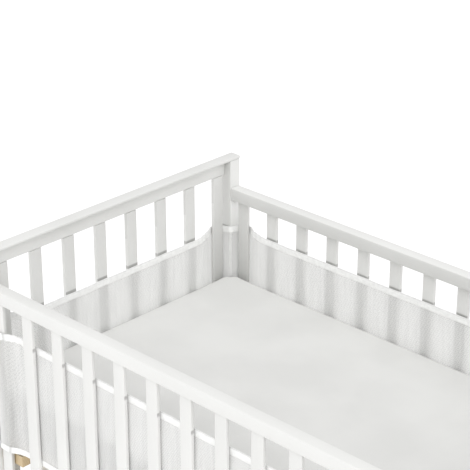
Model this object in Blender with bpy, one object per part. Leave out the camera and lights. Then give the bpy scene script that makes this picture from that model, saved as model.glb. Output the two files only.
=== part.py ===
"""A crib bumper on its crib: a knitted mesh liner, bound along both long edges, that is
woven round the inside of a slatted wooden crib and tucked down beside the mattress.

Frame: +Z up, X along the crib, Y across it, origin on the floor under its middle.
The head end is at -X. All sizes are in metres.
"""

import math

import bmesh
import bpy
from mathutils import Vector

# ---- crib: slats on a regular pitch between two rails ------------------------------------
SLAT_WIDE = 0.030
SLAT_THICK = 0.008
SLAT_ROUND = 0.0015
SLAT_GAP = 0.060
PITCH = SLAT_WIDE + SLAT_GAP
FIRST_SLAT = 0.025            # from the corner of the slat planes to the first slat
SIDE_SLATS = 15
END_SLATS = 8
INNER_LONG = 2 * FIRST_SLAT + SIDE_SLATS * PITCH - SLAT_GAP
INNER_WIDE = 2 * FIRST_SLAT + END_SLATS * PITCH - SLAT_GAP
HALF_X = INNER_LONG / 2       # inner faces of the end slats
HALF_Y = INNER_WIDE / 2       # inner faces of the side slats

PROUD = 0.016                 # posts and side rails stand this far inside the slat faces
POST_X = 0.028
POST_Y = 0.031
POST_ROUND = 0.0015
RAIL_DEEP = 0.028
RAIL_TALL = 0.030
FASCIA_SET_BACK = 0.002       # from the slat faces
FASCIA_THICK = 0.010
CAP_OVERHANG = 0.001
CAP_THICK = 0.007
FOOT_RAIL_TALL = 0.040
EDGE_ROUND = 0.003
LET_IN = 0.002                # how far the foot end's slats run into its boards

# ---- heights above the floor ----------------------------------------------------------------
BED_TOP = 0.677               # the mattress lies at its highest setting
SIDE_TOP = BED_TOP + 0.223
FASCIA_BOTTOM = BED_TOP + 0.2525
CAP_BOTTOM = BED_TOP + 0.289
FOOT_RAIL_BOTTOM = 0.200

# ---- mattress and its board ------------------------------------------------------------------
BED_THICK = 0.130
BED_CLEAR = 0.005             # mattress edge to slat faces
BED_ROUND = 0.003
BOARD_X = 0.640
BOARD_Y = 0.325
BOARD_THICK = 0.012
LUG_BACK = 0.060              # each lug runs this far in from the post
LUG_TALL = 0.025
LUG_DROP = 0.031              # top of the lug below the mattress, clear of the liner
STEM_INSET = 0.005            # the block that joins each lug to the board, inside both
STEM_BITE_LUG = 0.010
STEM_BITE_BOARD = 0.004

# ---- liner ----------------------------------------------------------------------------------
LINER_TALL = 0.280
LINER_TOP = BED_TOP + 0.127
MESH_HALF = 0.0005            # half the thickness of the mesh
BINDING_HALF = 0.0015         # half the thickness of the folded binding
BINDING_WALL = 0.0007
BINDING_TALL = 0.015
BINDING_TURN = 0.003          # solid fold at the binding's outer edge
HEM_WIDE = 0.012
HEM_HALF = 0.0013
HEM_APART = 0.0002            # a short step between a hem's full and the panel's thin section
ENDS_APART = 0.008
MEET_GAP = 12                 # the strip's ends meet in the gap after this slat of the front
SLAT_EDGE_OFF = 0.0035        # middle of the cloth off the slat faces, at a slat's edges
SLAT_FACE_OFF = 0.0021        # and over the middle of a slat
TOP_EDGE_OFF = 0.0060         # the top edge springs clear of the slats, in a straight line
TOP_SETTLE = -0.0022          # and between the corners it hangs a little below its full height

# ---- ties -------------------------------------------------------------------------------------
TIE_ROUND = 0.003
TIE_LONG = 0.150

FIT = 0.0003                  # clearance where pieces touch

# The liner's route at a corner, from the point in front of the post outwards: out between
# post and first slat, behind that slat, and back in before the second one. "along" runs
# along the side from the corner of the slat planes, "inward" is the distance off the slat
# faces, "rise" lifts the top edge or lowers it, and "lean" tips it inwards. Two soft folds
# stand in the gap after the first slat, where the strip is drawn behind it.
CORNER_ROUTE = [
    # along,  inward,  rise,  lean
    (0.0188, 0.0188, 0.0029, 0.0025),
    (0.0206, 0.0100, -0.0003, 0.0012),
    (0.0206, -0.0030, -0.0030, 0.0),
    (0.0235, -0.0095, -0.0026, 0.0),
    (0.0300, -0.0115, -0.0010, 0.0),
    (0.0420, -0.0117, 0.0018, 0.0),
    (0.0530, -0.0110, 0.0030, 0.0),
    (0.0600, -0.0086, 0.0032, 0.0),
    (0.0650, -0.0050, 0.0031, 0.0),
    (0.0700, -0.0032, 0.0029, 0.0006),
    (0.0750, -0.0002, 0.0026, 0.0010),
    (0.0800, 0.0004, 0.0022, 0.0016),
    (0.0870, 0.0024, 0.0018, 0.0018),
    (0.0950, 0.0032, 0.0012, 0.0024),
    (0.1040, 0.0034, -0.0006, 0.0026),
]

# Half of the mattress's outline at a corner, where the post dents it through the liner.
BED_CORNER = [
    # along,  inward
    (0.0300, 0.0050),
    (0.0252, 0.0056),
    (0.0236, 0.0080),
    (0.0231, 0.0120),
    (0.0222, 0.0175),
    (0.0208, 0.0208),
]

# Free ends of the ties, hanging outside the liner in the gap where its ends meet.
TIES = [
    # name, start beside the meeting line, start below the top edge, swing aside, swing out
    ("tie_near_a", 0.008, 0.006, 0.004, 0.006),
    ("tie_near_b", 0.013, 0.010, 0.014, 0.009),
    ("tie_far_a", -0.008, 0.006, -0.003, 0.008),
    ("tie_far_b", -0.013, 0.010, -0.015, 0.005),
]


def clear_scene():
    for obj in list(bpy.data.objects):
        bpy.data.objects.remove(obj, do_unlink=True)


def material(name, colour, rough):
    made = bpy.data.materials.new(name)
    made.use_nodes = True
    shader = made.node_tree.nodes["Principled BSDF"]
    shader.inputs["Base Color"].default_value = (*colour, 1.0)
    shader.inputs["Roughness"].default_value = rough
    shader.inputs["Metallic"].default_value = 0.0
    return made


def add(name, mesh, mat):
    obj = bpy.data.objects.new(name, mesh)
    bpy.context.scene.collection.objects.link(obj)
    mesh.materials.append(mat)
    return obj


def box(name, low, high, mat, bevel=0.0, segments=2):
    """A box between two corners, its edges rounded where a bevel is given."""
    shape = bmesh.new()
    size = [high[k] - low[k] for k in range(3)]
    middle = [(high[k] + low[k]) / 2 for k in range(3)]
    bmesh.ops.create_cube(shape, size=1.0)
    for vert in shape.verts:
        vert.co = Vector([vert.co[k] * size[k] for k in range(3)])
    if bevel:
        bmesh.ops.bevel(shape, geom=list(shape.edges), offset=bevel, segments=segments,
                        profile=0.5, affect="EDGES", clamp_overlap=True)
    mesh = bpy.data.meshes.new(name)
    shape.to_mesh(mesh)
    shape.free()
    obj = add(name, mesh, mat)
    obj.location = middle
    return obj


def union(name, pieces, mat):
    """One body from overlapping pieces."""
    first = pieces[0]
    for other in pieces[1:]:
        join = first.modifiers.new("join", "BOOLEAN")
        join.operation = "UNION"
        join.solver = "EXACT"
        join.object = other
    graph = bpy.context.evaluated_depsgraph_get()
    mesh = bpy.data.meshes.new_from_object(first.evaluated_get(graph))
    mesh.name = name
    place = first.location.copy()
    for obj in pieces:
        bpy.data.objects.remove(obj, do_unlink=True)
    mesh.materials.clear()
    whole = add(name, mesh, mat)
    whole.location = place
    return whole


# ---- crib -----------------------------------------------------------------------------------
def slat_start(index):
    return FIRST_SLAT + index * PITCH


def make_posts(mat):
    for end, sx in (("head", -1), ("foot", 1)):
        for side, sy in (("back", 1), ("front", -1)):
            x = sorted((sx * (HALF_X - PROUD), sx * (HALF_X - PROUD + POST_X)))
            y = sorted((sy * (HALF_Y - PROUD), sy * (HALF_Y - PROUD + POST_Y)))
            box(f"post_{end}_{side}", (x[0], y[0], 0.0), (x[1], y[1], CAP_BOTTOM - FIT),
                mat, POST_ROUND, 1)


def make_side(side, sy, mat):
    """A long side: two rails between the posts, with slats between the rails."""
    reach = HALF_X - PROUD - FIT
    y = sorted((sy * (HALF_Y - PROUD), sy * (HALF_Y - PROUD + RAIL_DEEP)))
    rail_bottom = SIDE_TOP - RAIL_TALL
    foot_top = FOOT_RAIL_BOTTOM + FOOT_RAIL_TALL
    box(f"{side}_top_rail", (-reach, y[0], rail_bottom), (reach, y[1], SIDE_TOP),
        mat, EDGE_ROUND)
    box(f"{side}_bottom_rail", (-reach, y[0], FOOT_RAIL_BOTTOM), (reach, y[1], foot_top),
        mat, EDGE_ROUND)
    y = sorted((sy * HALF_Y, sy * (HALF_Y + SLAT_THICK)))
    for k in range(SIDE_SLATS):
        x = -HALF_X + slat_start(k)
        box(f"{side}_slat_{k + 1:02d}", (x, y[0], foot_top + FIT),
            (x + SLAT_WIDE, y[1], rail_bottom - FIT), mat, SLAT_ROUND, 1)


def end_shapes(end, sx, mat, overlap):
    """The pieces of an end panel; overlap is how far its slats run into the boards."""
    reach = HALF_Y - PROUD - FIT
    outer_y = HALF_Y - PROUD + POST_Y + CAP_OVERHANG
    foot_top = FOOT_RAIL_BOTTOM + FOOT_RAIL_TALL
    x = sorted((sx * (HALF_X - PROUD - CAP_OVERHANG), sx * (HALF_X - PROUD + POST_X)))
    pieces = [box(f"{end}_cap", (x[0], -outer_y, CAP_BOTTOM),
                  (x[1], outer_y, CAP_BOTTOM + CAP_THICK), mat, EDGE_ROUND)]
    face = HALF_X + FASCIA_SET_BACK
    x = sorted((sx * face, sx * (face + FASCIA_THICK)))
    top = CAP_BOTTOM - FIT + (overlap and overlap / 2 + FIT)
    pieces.append(box(f"{end}_fascia", (x[0], -reach, FASCIA_BOTTOM), (x[1], reach, top), mat))
    pieces.append(box(f"{end}_bottom_rail", (x[0], -reach, FOOT_RAIL_BOTTOM),
                      (x[1], reach, foot_top), mat))
    x = sorted((sx * HALF_X, sx * (HALF_X + SLAT_THICK)))
    slip = overlap or -FIT
    for k in range(END_SLATS):
        y = -HALF_Y + slat_start(k)
        pieces.append(box(f"{end}_slat_{k + 1:02d}", (x[0], y, foot_top - slip),
                          (x[1], y + SLAT_WIDE, FASCIA_BOTTOM + slip), mat, SLAT_ROUND, 1))
    return pieces


# ---- mattress and board ------------------------------------------------------------------------
def bed_outline():
    """The mattress seen from above, anticlockwise, dented by the post at each corner."""
    half = BED_CORNER + [(v, u) for u, v in reversed(BED_CORNER[:-1])]
    ring = []
    for sx, sy in ((1, 1), (-1, 1), (-1, -1), (1, -1)):
        turned = [(sx * (HALF_X - b), sy * (HALF_Y - a)) for a, b in half]
        ring += turned if sx * sy > 0 else turned[::-1]
    return ring


def inset(ring, distance):
    """A closed outline moved inwards, corners mitred."""
    moved = []
    for k, here in enumerate(ring):
        before = Vector(ring[k - 1])
        after = Vector(ring[(k + 1) % len(ring)])
        here = Vector(here)
        first = (here - before).normalized()
        second = (after - here).normalized()
        left = Vector((-first.y - second.y, first.x + second.x)).normalized()
        slope = left.dot(Vector((-first.y, first.x)))
        moved.append(here + left * distance / slope)
    return [(p.x, p.y) for p in moved]


def stack(name, rings, mat):
    """A closed solid through rings of equal length, each a list of 3-D points."""
    shape = bmesh.new()
    rows = [[shape.verts.new(p) for p in ring] for ring in rings]
    count = len(rings[0])
    for low, high in zip(rows, rows[1:]):
        for k in range(count):
            n = (k + 1) % count
            shape.faces.new((low[k], low[n], high[n], high[k]))
    shape.faces.new(rows[0][::-1])
    shape.faces.new(rows[-1])
    mesh = bpy.data.meshes.new(name)
    shape.to_mesh(mesh)
    shape.free()
    return add(name, mesh, mat)


def make_mattress(mat):
    ring = bed_outline()
    small = inset(ring, BED_ROUND)
    bottom = BED_TOP - BED_THICK
    levels = ((small, bottom), (ring, bottom + BED_ROUND), (ring, BED_TOP - BED_ROUND),
              (small, BED_TOP))
    stack("mattress", [[(x, y, z) for x, y in row] for row, z in levels], mat)


def make_board(mat):
    """The board under the mattress, with a lug at each corner that reaches the post."""
    top = BED_TOP - BED_THICK - FIT
    lug_top = BED_TOP - BED_THICK - LUG_DROP
    post = HALF_X - PROUD - FIT
    pieces = [box("board", (-BOARD_X, -BOARD_Y, top - BOARD_THICK), (BOARD_X, BOARD_Y, top), mat)]
    for sx in (-1, 1):
        for sy in (-1, 1):
            x = sorted((sx * (post - LUG_BACK), sx * post))
            y = sorted((sy * (BOARD_Y - LUG_BACK), sy * (HALF_Y - BED_CLEAR / 2)))
            pieces.append(box("lug", (x[0], y[0], lug_top - LUG_TALL), (x[1], y[1], lug_top), mat))
            x = sorted((sx * (post - LUG_BACK + STEM_INSET), sx * (BOARD_X - STEM_INSET)))
            y = sorted((sy * (BOARD_Y - LUG_BACK + STEM_INSET), sy * (BOARD_Y - STEM_INSET)))
            pieces.append(box("stem", (x[0], y[0], lug_top - STEM_BITE_LUG),
                              (x[1], y[1], top - STEM_BITE_BOARD), mat))
    union("mattress_board", pieces, mat)


# ---- liner --------------------------------------------------------------------------------------
def beside_slats(along, off):
    """A point of the route on the straight, its top edge leaning in to one line."""
    return along, off, TOP_SETTLE, TOP_EDGE_OFF - off


def side_route(length, slats):
    """The liner's way along one side as (along, inward, rise, lean), corner to corner."""
    way = list(CORNER_ROUTE)
    for k in range(1, slats - 1):
        start = slat_start(k)
        way.append(beside_slats(start, SLAT_EDGE_OFF))
        way.append(beside_slats(start + SLAT_WIDE / 2, SLAT_FACE_OFF))
        way.append(beside_slats(start + SLAT_WIDE, SLAT_EDGE_OFF))
    way += [(length - a, *rest) for a, *rest in reversed(CORNER_ROUTE)]
    return way


def liner_route():
    """The whole way round, anticlockwise from above, from one end of the strip to the
    other: a list of (x, y, rise, lean)."""
    sides = [
        # corner, direction along, direction inward, length, slats
        ((HALF_X, -HALF_Y), (0, 1), (-1, 0), INNER_WIDE, END_SLATS),
        ((HALF_X, HALF_Y), (-1, 0), (0, -1), INNER_LONG, SIDE_SLATS),
        ((-HALF_X, HALF_Y), (0, -1), (1, 0), INNER_WIDE, END_SLATS),
    ]
    front = side_route(INNER_LONG, SIDE_SLATS)
    meet = slat_start(MEET_GAP) + SLAT_WIDE + SLAT_GAP / 2
    before = [p for p in front if p[0] < meet]
    before.append(beside_slats(meet - ENDS_APART / 2, SLAT_EDGE_OFF))
    after = [beside_slats(meet + ENDS_APART / 2, SLAT_EDGE_OFF)]
    after += [p for p in front if p[0] > meet]

    def place(corner, along, inward, way):
        return [(corner[0] + along[0] * a + inward[0] * b,
                 corner[1] + along[1] * a + inward[1] * b, *rest) for a, b, *rest in way]

    whole = place((-HALF_X, -HALF_Y), (1, 0), (0, 1), after)
    for corner, along, inward, length, slats in sides:
        whole += place(corner, along, inward, side_route(length, slats))[1:]
    whole += place((-HALF_X, -HALF_Y), (1, 0), (0, 1), before)[1:]
    return whole


def along_route(route):
    """The running length at each point of a route."""
    run = [0.0]
    for a, b in zip(route, route[1:]):
        run.append(run[-1] + math.dist(a[:2], b[:2]))
    return run


def point_at(route, run, distance):
    for k in range(len(run) - 1):
        if distance <= run[k + 1]:
            break
    share = (distance - run[k]) / (run[k + 1] - run[k])
    return tuple(a + (b - a) * share for a, b in zip(route[k], route[k + 1]))


def cut_route(route, start, end):
    """The stretch of a route between two running lengths."""
    run = along_route(route)
    middle = [p for p, d in zip(route, run) if start + 0.0001 < d < end - 0.0001]
    return [point_at(route, run, start), *middle, point_at(route, run, end)]


def inward_normal(route, k):
    """Unit normal to a route at point k, to its left, and the stretch a mitre needs."""
    here = Vector(route[k][:2])
    first = (here - Vector(route[k - 1][:2])).normalized() if k else None
    second = (Vector(route[k + 1][:2]) - here).normalized() if k < len(route) - 1 else None
    first = first or second
    second = second or first
    middle = (first + second).normalized()
    return Vector((-middle.y, middle.x)), 1 / max(0.5, middle.dot(first))


def sweep(name, route, sections, mat):
    """A closed solid: at each point of the route a section of (off, height) points."""
    rings = []
    for k, section in enumerate(sections):
        x, y, _, lean = route[k]
        normal, stretch = inward_normal(route, k)
        ring = []
        for off, z in section:
            tip = lean * max(0.0, z - BED_TOP) / (LINER_TOP - BED_TOP)
            across = (off + tip) * stretch
            ring.append((x + normal.x * across, y + normal.y * across, z))
        rings.append(ring)
    return stack(name, rings, mat)


def mesh_section(half, low, high):
    """A flat sheet's section, with a row of points at the mattress's top."""
    return [(half, low), (half, BED_TOP), (half, high), (-half, high), (-half, BED_TOP),
            (-half, low)]


def make_mesh(route, mat):
    """The knitted panel, its two short ends turned over as hems."""
    total = along_route(route)[-1]
    panel = cut_route(route, HEM_WIDE + HEM_APART, total - HEM_WIDE - HEM_APART)
    low = LINER_TOP - LINER_TALL
    hem_a = cut_route(route, 0.0, HEM_WIDE)
    hem_b = cut_route(route, total - HEM_WIDE, total)
    way = hem_a + panel + hem_b
    sections = [mesh_section(HEM_HALF, low, LINER_TOP + p[2]) for p in hem_a]
    sections += [mesh_section(MESH_HALF, low + BINDING_TURN + FIT,
                              LINER_TOP + p[2] - BINDING_TURN - FIT) for p in panel]
    sections += [mesh_section(HEM_HALF, low, LINER_TOP + p[2]) for p in hem_b]
    sweep("liner_mesh", way, sections, mat)


def binding_section(edge, turn):
    """A strip folded over the cloth's edge; turn is +1 at the top edge, -1 at the bottom."""
    slot = BINDING_HALF - BINDING_WALL
    open_end = edge - turn * BINDING_TALL
    fold = edge - turn * BINDING_TURN
    points = [(BINDING_HALF, open_end), (BINDING_HALF, edge), (-BINDING_HALF, edge),
              (-BINDING_HALF, open_end), (-slot, open_end), (-slot, fold), (slot, fold),
              (slot, open_end)]
    return points if turn > 0 else points[::-1]


def make_bindings(route, mat):
    total = along_route(route)[-1]
    way = cut_route(route, HEM_WIDE + 2 * FIT, total - HEM_WIDE - 2 * FIT)
    sweep("binding_top", way, [binding_section(LINER_TOP + p[2], 1) for p in way], mat)
    low = LINER_TOP - LINER_TALL
    sweep("binding_bottom", way, [binding_section(low, -1) for _ in way], mat)


# ---- ties ---------------------------------------------------------------------------------------
def smooth(points, steps):
    """Points on a smooth curve through a few hand-placed ones."""
    ends = [points[0] * 2 - points[1], *points, points[-1] * 2 - points[-2]]
    curve = []
    for k in range(1, len(ends) - 2):
        a, b, c, d = ends[k - 1:k + 3]
        for j in range(steps):
            t = j / steps
            curve.append(0.5 * ((2 * b) + (c - a) * t + (2 * a - 5 * b + 4 * c - d) * t * t
                                + (3 * b - a - 3 * c + d) * t ** 3))
    return curve + [points[-1]]


def make_tie(name, beside, below, aside, out, mat):
    """A string that leaves the hem's outer face near its top and hangs by its own weight."""
    meet = -HALF_X + slat_start(MEET_GAP) + SLAT_WIDE + SLAT_GAP / 2
    face = -(HALF_Y - TOP_EDGE_OFF + HEM_HALF + 2 * FIT)
    top = LINER_TOP - below
    route = [
        Vector((meet + beside, face, top)),
        Vector((meet + beside, face - 0.004, top - 0.0005)),
        Vector((meet + beside + aside * 0.15, face - 0.0065, top - 0.008)),
        Vector((meet + beside + aside * 0.4, face - out, top - 0.045)),
        Vector((meet + beside + aside * 0.8, face - out * 0.8, top - 0.095)),
        Vector((meet + beside + aside, face - out * 0.9, top - TIE_LONG + 0.004)),
    ]
    curve = bpy.data.curves.new(name, "CURVE")
    curve.dimensions = "3D"
    curve.bevel_depth = TIE_ROUND / 2
    curve.bevel_resolution = 2
    curve.use_fill_caps = True
    points = smooth(route, 4)
    spline = curve.splines.new("POLY")
    spline.points.add(len(points) - 1)
    for slot, p in zip(spline.points, points):
        slot.co = (*p, 1.0)
    obj = bpy.data.objects.new(name, curve)
    bpy.context.scene.collection.objects.link(obj)
    curve.materials.append(mat)
    return obj


def main():
    clear_scene()
    paint = material("white_painted_wood", (0.83, 0.83, 0.80), 0.45)
    ticking = material("white_cotton_sheet", (0.86, 0.86, 0.85), 0.85)
    knit = material("white_knitted_mesh", (0.80, 0.80, 0.79), 0.85)
    tape = material("white_binding", (0.90, 0.90, 0.89), 0.7)
    board = material("plain_board", (0.72, 0.68, 0.60), 0.7)
    make_posts(paint)
    make_side("back", 1, paint)
    make_side("front", -1, paint)
    end_shapes("head", -1, paint, 0.0)
    union("foot_end", end_shapes("foot", 1, paint, LET_IN), paint)
    make_mattress(ticking)
    make_board(board)
    route = liner_route()
    make_mesh(route, knit)
    make_bindings(route, tape)
    for name, beside, below, aside, out in TIES:
        make_tie(name, beside, below, aside, out, tape)
    print("liner runs", round(along_route(route)[-1], 4), "m and is", LINER_TALL, "m tall")


main()
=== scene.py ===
# %% [markdown]
# # A crib bumper on its crib
# The object is one long strip of breathable knitted mesh, bound along both long edges. It
# is woven round the inside of a slatted white crib: in front of the slats on the straight,
# behind the first slat on each side of a corner, and in front of the post. Its lower half
# is tucked down beside the mattress.
#
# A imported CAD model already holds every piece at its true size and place. This script loads
# it as a fixed frame, and then dresses it, one piece after another, in cells.

# %% Load the frame
import math
from bisect import bisect_right

import bmesh
import bpy
from mathutils import Euler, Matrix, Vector, noise


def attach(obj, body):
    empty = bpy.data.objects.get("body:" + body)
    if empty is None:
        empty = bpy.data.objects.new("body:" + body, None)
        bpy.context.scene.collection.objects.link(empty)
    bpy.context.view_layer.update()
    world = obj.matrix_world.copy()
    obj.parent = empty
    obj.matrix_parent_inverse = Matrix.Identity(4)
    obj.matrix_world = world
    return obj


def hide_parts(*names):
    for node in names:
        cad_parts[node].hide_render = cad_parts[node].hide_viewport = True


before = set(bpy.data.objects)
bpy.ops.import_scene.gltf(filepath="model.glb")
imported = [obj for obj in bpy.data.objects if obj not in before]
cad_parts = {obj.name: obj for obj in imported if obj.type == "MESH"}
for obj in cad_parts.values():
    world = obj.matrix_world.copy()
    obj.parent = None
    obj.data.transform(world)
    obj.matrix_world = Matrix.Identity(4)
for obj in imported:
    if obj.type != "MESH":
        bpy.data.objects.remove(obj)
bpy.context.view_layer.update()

# %% [markdown]
# Five small helpers carry most of the script. The first turns the hex colour that an
# artist would pick, which is sRGB, into the linear numbers that a shader needs. The second
# adds one node with its settings and links, and the third starts an empty material. The
# fourth puts an object in the scene. The last does so for a finished mesh, smooth but with
# its real edges kept sharp.


# %% Helpers for colours, nodes and meshes
def linear(hex_colour):
    """An sRGB hex colour as linear RGBA."""
    values = [int(hex_colour[k:k + 2], 16) / 255 for k in (1, 3, 5)]
    return (*[v / 12.92 if v <= 0.04045 else ((v + 0.055) / 1.055) ** 2.4 for v in values], 1.0)


def add_node(tree, kind, inputs=(), stops=(), **settings):
    """A node with its settings and links; a kind that doesn't say Node is a shader's. An input
    is a value, or the output or node that it is linked to, and a plain row of them fills the
    sockets in order. A ramp's stops are hex colours or shares of white."""
    node = tree.nodes.new(kind if "Node" in kind else f"ShaderNode{kind}")
    for name, value in settings.items():
        setattr(node, name, value)
    for key, value in inputs.items() if isinstance(inputs, dict) else enumerate(inputs):
        if isinstance(value, bpy.types.Node):
            value = value.outputs[0]
        if isinstance(value, bpy.types.NodeSocket):
            tree.links.new(value, node.inputs[key])
        else:
            node.inputs[key].default_value = value
    for k, (spot, tone) in enumerate(stops):
        ramp = node.color_ramp.elements
        stop = ramp[0] if k == 0 else ramp[-1] if k == len(stops) - 1 else ramp.new(spot)
        stop.position = spot
        stop.color = linear(tone) if isinstance(tone, str) else (tone, tone, tone, 1.0)
    return node


def new_material(name):
    made = bpy.data.materials.new(name)
    made.use_nodes = True
    made.node_tree.nodes.clear()
    return made, made.node_tree


def add_object(name, data):
    made = bpy.data.objects.new(name, data)
    bpy.context.scene.collection.objects.link(made)
    return made


def add_piece(name, mesh, material=None, sharp_angle=35.0):
    """A finished piece: its object stays at the origin, and its place is in its mesh."""
    mesh.shade_smooth()
    mesh.set_sharp_from_angle(angle=math.radians(sharp_angle))
    if material:
        mesh.materials.clear()
        mesh.materials.append(material)
    return add_object(name, mesh)


# %% [markdown]
# ## The camera
# The camera was found from the photograph itself: the crib's straight edges run to their
# vanishing points, and a least-squares fit on them gives where the camera stood and how
# long its lens was. It looks down into one corner from well away, through a long lens, so
# the edges converge only a little.

# %% Camera
camera_data = bpy.data.cameras.new("photo_camera")
camera_data.sensor_fit = "HORIZONTAL"
camera_data.sensor_width = 36.0
camera_data.lens = 128.56
camera_data.clip_end = 200.0
camera = add_object("photo_camera", camera_data)
camera.location = (1.814, -2.209, 2.409)
camera.rotation_euler = Euler((math.radians(65.362), 0.0, math.radians(43.918)))
bpy.context.scene.camera = camera
print("camera at", tuple(camera.location))

# %% [markdown]
# ## Sizes from the CAD source
# A script in this style repeats the sizes that the CAD source works with, by name, so
# that each piece lands on its solid. All are in metres.

# %% Sizes
SLAT_WIDE, SLAT_THICK, PITCH, FIRST_SLAT = 0.030, 0.008, 0.090, 0.025
SIDE_SLATS, END_SLATS = 15, 8
HALF_X, HALF_Y = 0.670, 0.355  # inner faces of the slats
PROUD = 0.016  # posts and side rails stand this far inside them
POST_X, POST_Y = 0.028, 0.031
RAIL_DEEP, RAIL_TALL = 0.028, 0.030
FASCIA_SET_BACK, FASCIA_THICK = 0.002, 0.010
CAP_OVERHANG, CAP_THICK = 0.001, 0.007
FOOT_RAIL_BOTTOM, FOOT_RAIL_TALL = 0.200, 0.040
BED_TOP, BED_THICK = 0.677, 0.130
SIDE_TOP = BED_TOP + 0.223
FASCIA_BOTTOM = BED_TOP + 0.2525
CAP_BOTTOM = BED_TOP + 0.289
LINER_TALL = 0.280
LINER_TOP = BED_TOP + 0.127
LINER_LOW = LINER_TOP - LINER_TALL
BINDING_HALF, BINDING_WALL, BINDING_TALL, BINDING_TURN = 0.0015, 0.0007, 0.015, 0.003
HEM_WIDE, HEM_HALF = 0.012, 0.0013
ENDS_APART, MEET_GAP = 0.008, 12
SLAT_EDGE_OFF, SLAT_FACE_OFF, TOP_EDGE_OFF, TOP_SETTLE = 0.0035, 0.0021, 0.0060, -0.0022
TIE_ROUND, TIE_LONG = 0.003, 0.150
FIT = 0.0003
MEET_X = -HALF_X + FIRST_SLAT + MEET_GAP * PITCH + SLAT_WIDE + (PITCH - SLAT_WIDE) / 2
print("the strip's ends meet at x =", round(MEET_X, 4))

# %% [markdown]
# ## The ties
# Each end of the strip carries two strings, sewn to the hem near its top, with free cut
# ends. A string like this is a narrow braided cord of spun polyester: limp, so it hangs
# straight down with a slight swing. A curve with a round bevel is the usual way to make
# one, and it keeps the centre line that gives the cord its length.

# %% Tie material: braided polyester
# Spun polyester is matt and white. The braid's strands cross at about 1 mm, which is
# finer than the render shows, so they are drawn at 2 mm.
WAVE = 0.314  # at this scale a Wave texture repeats once a metre
TIE_BRAID = 0.002
tie_material, tree = new_material("braided_polyester_cord")
coords = add_node(tree, "TexCoord").outputs["Object"]
braid = add_node(tree, "TexWave", {
    "Vector": coords, "Scale": WAVE / TIE_BRAID, "Distortion": 1.5, "Detail": 1.0},
    wave_type="BANDS", bands_direction="DIAGONAL").outputs["Fac"]
shade = add_node(tree, "ValToRGB", {"Fac": braid}, stops=((0.0, "#DEDEDB"), (1.0, "#F2F2F0")))
bump = add_node(tree, "Bump", {"Height": braid, "Strength": 0.4, "Distance": 0.0004})
surface = add_node(tree, "BsdfPrincipled", {
    "Base Color": shade, "Roughness": 0.75, "Sheen Weight": 0.2, "IOR": 1.55, "Normal": bump})
add_node(tree, "OutputMaterial", {"Surface": surface})
print("tie material has", len(tree.nodes), "nodes")

# %% Ties
# name, start beside the meeting line, start below the top edge, swing aside, swing out
TIES = [
    ("tie_near_a", 0.008, 0.006, 0.004, 0.006),
    ("tie_near_b", 0.013, 0.010, 0.014, 0.009),
    ("tie_far_a", -0.008, 0.006, -0.003, 0.008),
    ("tie_far_b", -0.013, 0.010, -0.015, 0.005),
]


def smooth_curve(points, steps):
    """Points on a smooth curve through a few given ones."""
    ends = [points[0] * 2 - points[1], *points, points[-1] * 2 - points[-2]]
    curve = []
    for k in range(1, len(ends) - 2):
        a, b, c, d = ends[k - 1:k + 3]
        for j in range(steps):
            t = j / steps
            curve.append(0.5 * ((2 * b) + (c - a) * t + (2 * a - 5 * b + 4 * c - d) * t * t
                                + (3 * b - a - 3 * c + d) * t ** 3))
    return curve + [points[-1]]


def tie_route(beside, below, aside, out):
    """The centre line of a tie, from the hem's outer face to its free end."""
    face = -(HALF_Y - TOP_EDGE_OFF + HEM_HALF + 2 * FIT)
    top = LINER_TOP - below
    x = MEET_X + beside
    return smooth_curve([
        Vector((x, face, top)),
        Vector((x, face - 0.004, top - 0.0005)),
        Vector((x + aside * 0.15, face - 0.0065, top - 0.008)),
        Vector((x + aside * 0.4, face - out, top - 0.045)),
        Vector((x + aside * 0.8, face - out * 0.8, top - 0.095)),
        Vector((x + aside, face - out * 0.9, top - TIE_LONG + 0.004)),
    ], 6)


def poly_curve(name, lines):
    """A curve with one open spline for each line of points."""
    curve = bpy.data.curves.new(name, "CURVE")
    curve.dimensions = "3D"
    for line in lines:
        spline = curve.splines.new("POLY")
        spline.points.add(len(line) - 1)
        for slot, point in zip(spline.points, line):
            slot.co = (*point, 1.0)
    return curve


for name, beside, below, aside, out in TIES:
    points = tie_route(beside, below, aside, out)
    curve = poly_curve(f"{name}_cord", [points])
    curve.bevel_depth = TIE_ROUND / 2
    curve.bevel_resolution = 3
    curve.use_fill_caps = True
    curve.materials.append(tie_material)
    tie = add_object(f"{name}_cord", curve)
    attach(tie, "root")
    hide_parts(name)

# %% [markdown]
# ## The route of the strip
# Seen from above, the strip follows one line round the crib. The CAD source draws it with
# straight pieces. Cloth has no kinks, so the same points are rounded here into one smooth
# line: a quadratic B-spline, which never swings outside its points, and so never cuts
# through a slat. Each point also says how far the top edge rises and leans in there.

# %% Route points
END_SAG = 0.0019  # the strip hangs this much lower across the ends
SAG_FROM, SAG_FULL = 0.080, 0.115  # where that begins and is reached, from the corner
CORNER_ROUTE = [
    # along,  inward,  rise,  lean
    (0.0188, 0.0188, 0.0029, 0.0027),
    (0.0206, 0.0100, -0.0003, -0.0010),
    (0.0206, -0.0030, -0.0030, -0.0021),
    (0.0235, -0.0095, -0.0026, 0.0),
    (0.0300, -0.0115, -0.0010, 0.0),
    (0.0420, -0.0117, 0.0018, 0.0),
    (0.0530, -0.0110, 0.0030, 0.0),
    (0.0600, -0.0086, 0.0032, 0.0),
    (0.0650, -0.0050, 0.0031, 0.0),
    (0.0700, -0.0032, 0.0029, 0.0006),
    (0.0750, -0.0002, 0.0026, 0.0010),
    (0.0800, 0.0004, 0.0022, 0.0016),
    (0.0870, 0.0024, 0.0018, 0.0018),
    (0.0950, 0.0032, 0.0012, 0.0024),
    (0.1040, 0.0034, -0.0006, 0.0026),
]


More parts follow.
